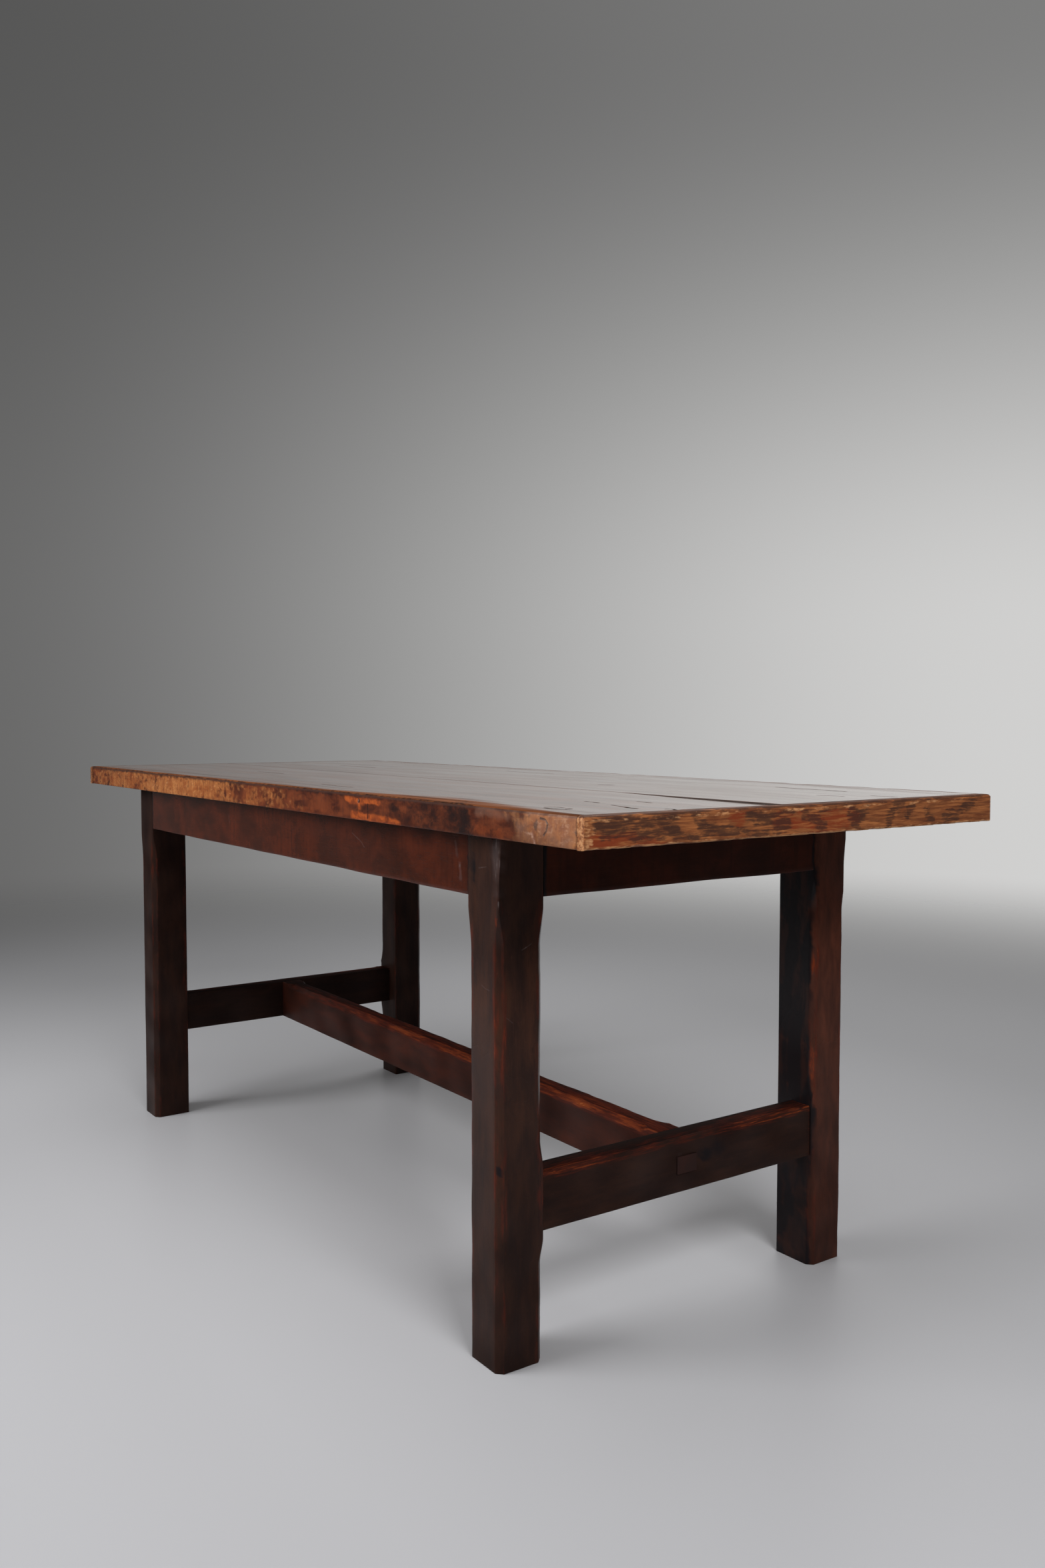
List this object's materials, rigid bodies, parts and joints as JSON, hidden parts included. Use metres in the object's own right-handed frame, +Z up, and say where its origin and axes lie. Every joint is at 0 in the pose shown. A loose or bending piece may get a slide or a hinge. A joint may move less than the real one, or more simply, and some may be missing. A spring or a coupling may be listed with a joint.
{
  "type": "refectory table",
  "caption": "Long joined wooden dining table: thick waxed plank top with end strips on stop-chamfered square legs, deep aprons and an H of low stretchers.",
  "frame": {"origin": "on the floor, under the middle of the top", "axes": "+X along the table, +Y across it towards the back, +Z up"},
  "size_m": [1.88, 0.75, 0.76],
  "materials": {
    "top_wood": "waxed, glossy",
    "strip_wood": "waxed, worn",
    "frame_wood": "dark stained, satin",
    "button_wood": "bare",
    "screw_steel": "dull",
    "nail_iron": "dark"
  },
  "bodies": {
    "root": {"apron_back": "frame_wood", "apron_front": "frame_wood", "apron_left": "frame_wood", "apron_right": "frame_wood", "button_back_1": "button_wood", "button_back_2": "button_wood", "button_back_3": "button_wood", "button_front_1": "button_wood", "button_front_2": "button_wood", "button_front_3": "button_wood", "button_left_1": "button_wood", "button_left_2": "button_wood", "button_right_1": "button_wood", "button_right_2": "button_wood", "button_screws": "screw_steel", "centre_stretcher": "frame_wood", "end_stretcher_left": "frame_wood", "end_stretcher_right": "frame_wood", "end_strip_left": "strip_wood", "end_strip_right": "strip_wood", "leg_back_left": "frame_wood", "leg_back_right": "frame_wood", "leg_front_left": "frame_wood", "leg_front_right": "frame_wood", "plank_tongue": "frame_wood", "strip_nails_left": "nail_iron", "strip_nails_right": "nail_iron", "top_plank_back": "top_wood", "top_plank_front": "top_wood"}
  },
  "joints": []
}
